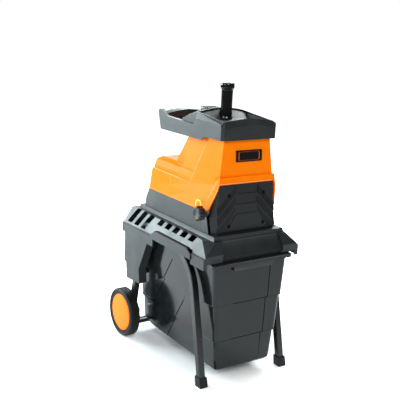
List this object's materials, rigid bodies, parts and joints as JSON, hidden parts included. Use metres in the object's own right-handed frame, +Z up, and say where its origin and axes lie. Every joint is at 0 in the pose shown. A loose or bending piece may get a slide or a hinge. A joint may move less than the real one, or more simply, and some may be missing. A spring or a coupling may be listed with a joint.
{
  "type": "wood chipper",
  "caption": "Electric garden chipper on a two-wheeled tubular stand, with a hopper and plunger, an orange motor housing with geared cutting drum, and a pull-out bin.",
  "frame": {"origin": "on the ground under the middle of the machine's bounding box", "axes": "+Z up, -Y towards the front, where the bin pulls out, +X to the right seen from the front"},
  "size_m": [0.484, 0.668, 1.0735],
  "materials": {
    "stand_black": "satin black powder coat",
    "cover_grey": "fine-grained dark grey plastic",
    "shell_orange": "smooth bright orange plastic",
    "bin_plastic": "smooth dark grey plastic",
    "grille_plastic": "dark grey plastic",
    "tyre_rubber": "moulded black rubber",
    "foot_rubber": "black rubber",
    "hub_orange": "smooth orange plastic",
    "wheel_plastic": "black plastic",
    "bright_steel": "zinc plated",
    "cut_steel": "ground steel",
    "cast_metal": "die-cast",
    "black_gloss": "polished black plastic",
    "black_plastic": "black plastic",
    "green_button": "green plastic",
    "red_button": "red plastic",
    "yellow_plastic": "yellow plastic"
  },
  "bodies": {
    "machine": {"axle": "bright_steel", "badge_plate": "black_gloss", "base_cover": "cover_grey", "cutter_chamber": "cast_metal", "fan_cowl": "wheel_plastic", "feed_chute": "grille_plastic", "front_bearing": "bright_steel", "front_cross_member": "bright_steel", "front_grille": "grille_plastic", "gearbox_casing": "cast_metal", "gearbox_cover": "cast_metal", "grille_screw_1": "bright_steel", "grille_screw_2": "bright_steel", "grille_screw_3": "bright_steel", "grille_screw_4": "bright_steel", "hopper_rim": "cover_grey", "left_bin_rail": "bright_steel", "left_foot_cap": "foot_rubber", "left_rear_shroud": "cover_grey", "left_stand_tube": "stand_black", "left_wheel_retainer": "bright_steel", "lower_housing": "cover_grey", "motor_cradle": "bright_steel", "motor_housing": "cast_metal", "power_inlet": "black_plastic", "rear_bearing": "bright_steel", "rear_cross_member": "bright_steel", "rear_tie_bar": "stand_black", "right_bin_rail": "bright_steel", "right_foot_cap": "foot_rubber", "right_rear_shroud": "cover_grey", "right_stand_tube": "stand_black", "right_wheel_retainer": "bright_steel", "run_capacitor": "black_plastic", "safety_switch": "wheel_plastic", "stator_core": "cut_steel", "switch_box": "black_plastic", "turn_mark": "yellow_plastic", "upper_housing": "shell_orange"},
    "left_wheel": {"left_tyre": "tyre_rubber", "left_wheel_disc": "wheel_plastic", "left_hub_cap": "hub_orange"},
    "right_wheel": {"right_tyre": "tyre_rubber", "right_wheel_disc": "wheel_plastic", "right_hub_cap": "hub_orange"},
    "bin": {"collection_bin": "bin_plastic"},
    "plunger": {"plunger_handle": "black_gloss", "plunger_plate": "cover_grey"},
    "adjuster": {"adjuster_knob": "grille_plastic", "adjuster_spindle": "cut_steel"},
    "counter_plate": {"counter_plate": "cut_steel"},
    "drum": {"cutter_drum": "cut_steel", "output_gear_shaft": "cut_steel"},
    "second_gear": {"second_reduction_gear": "cut_steel"},
    "first_gear": {"first_reduction_gear": "cut_steel"},
    "motor_rotor": {"motor_rotor": "cut_steel", "cooling_fan": "wheel_plastic"},
    "start_button": {"start_button": "green_button"},
    "stop_button": {"stop_button": "red_button"},
    "switch_flap": {"switch_flap": "black_gloss"}
  },
  "joints": [
    {"name": "left_wheel_spin", "type": "hinge", "parent": "machine", "child": "left_wheel", "pos_m": [-0.2195, 0.234, 0.1], "axis": [1, 0, 0], "continuous": true},
    {"name": "right_wheel_spin", "type": "hinge", "parent": "machine", "child": "right_wheel", "pos_m": [0.2195, 0.234, 0.1], "axis": [1, 0, 0], "continuous": true},
    {"name": "bin_slide", "type": "slide", "parent": "machine", "child": "bin", "axis": [0, -1, 0], "range_m": [0, 0.45]},
    {"name": "plunger_lift", "type": "slide", "parent": "machine", "child": "plunger", "axis": [0, 0, 1], "range_m": [0, 0.2]},
    {"name": "adjuster_turn", "type": "hinge", "parent": "machine", "child": "adjuster", "pos_m": [-0.18, -0.233, 0.632], "axis": [1, 0, 0], "range_deg": [0, 805]},
    {"name": "counter_plate_feed", "type": "slide", "parent": "machine", "child": "counter_plate", "axis": [1, 0, 0], "range_m": [0, 0.0039]},
    {"name": "drum_spin", "type": "hinge", "parent": "machine", "child": "drum", "pos_m": [0, 0, 0.64], "axis": [0, 1, 0], "continuous": true},
    {"name": "second_gear_spin", "type": "hinge", "parent": "machine", "child": "second_gear", "pos_m": [0.05267, 0, 0.68419], "axis": [0, 1, 0], "continuous": true},
    {"name": "first_gear_spin", "type": "hinge", "parent": "machine", "child": "first_gear", "pos_m": [0.01045, 0, 0.70857], "axis": [0, 1, 0], "continuous": true},
    {"name": "motor_spin", "type": "hinge", "parent": "machine", "child": "motor_rotor", "pos_m": [0.0062, 0, 0.66], "axis": [0, 1, 0], "continuous": true},
    {"name": "start_button_press", "type": "slide", "parent": "machine", "child": "start_button", "axis": [0, 0, 1], "range_m": [-0.003, 0], "stiffness_N_per_m": 400, "springref_m": 0.002},
    {"name": "stop_button_press", "type": "slide", "parent": "machine", "child": "stop_button", "axis": [0, 0, 1], "range_m": [-0.003, 0], "stiffness_N_per_m": 400, "springref_m": 0.002},
    {"name": "switch_flap_lift", "type": "hinge", "parent": "machine", "child": "switch_flap", "pos_m": [0, -0.041, 0.9706], "axis": [1, 0, 0], "range_deg": [0, 100]}
  ],
  "couplings": [
    {"joint": "adjuster_turn", "follows": "counter_plate_feed", "rad_per_m": 3590.4},
    {"joint": "second_gear_spin", "follows": "drum_spin", "ratio": -4},
    {"joint": "first_gear_spin", "follows": "drum_spin", "ratio": 16},
    {"joint": "motor_spin", "follows": "drum_spin", "ratio": -64}
  ]
}
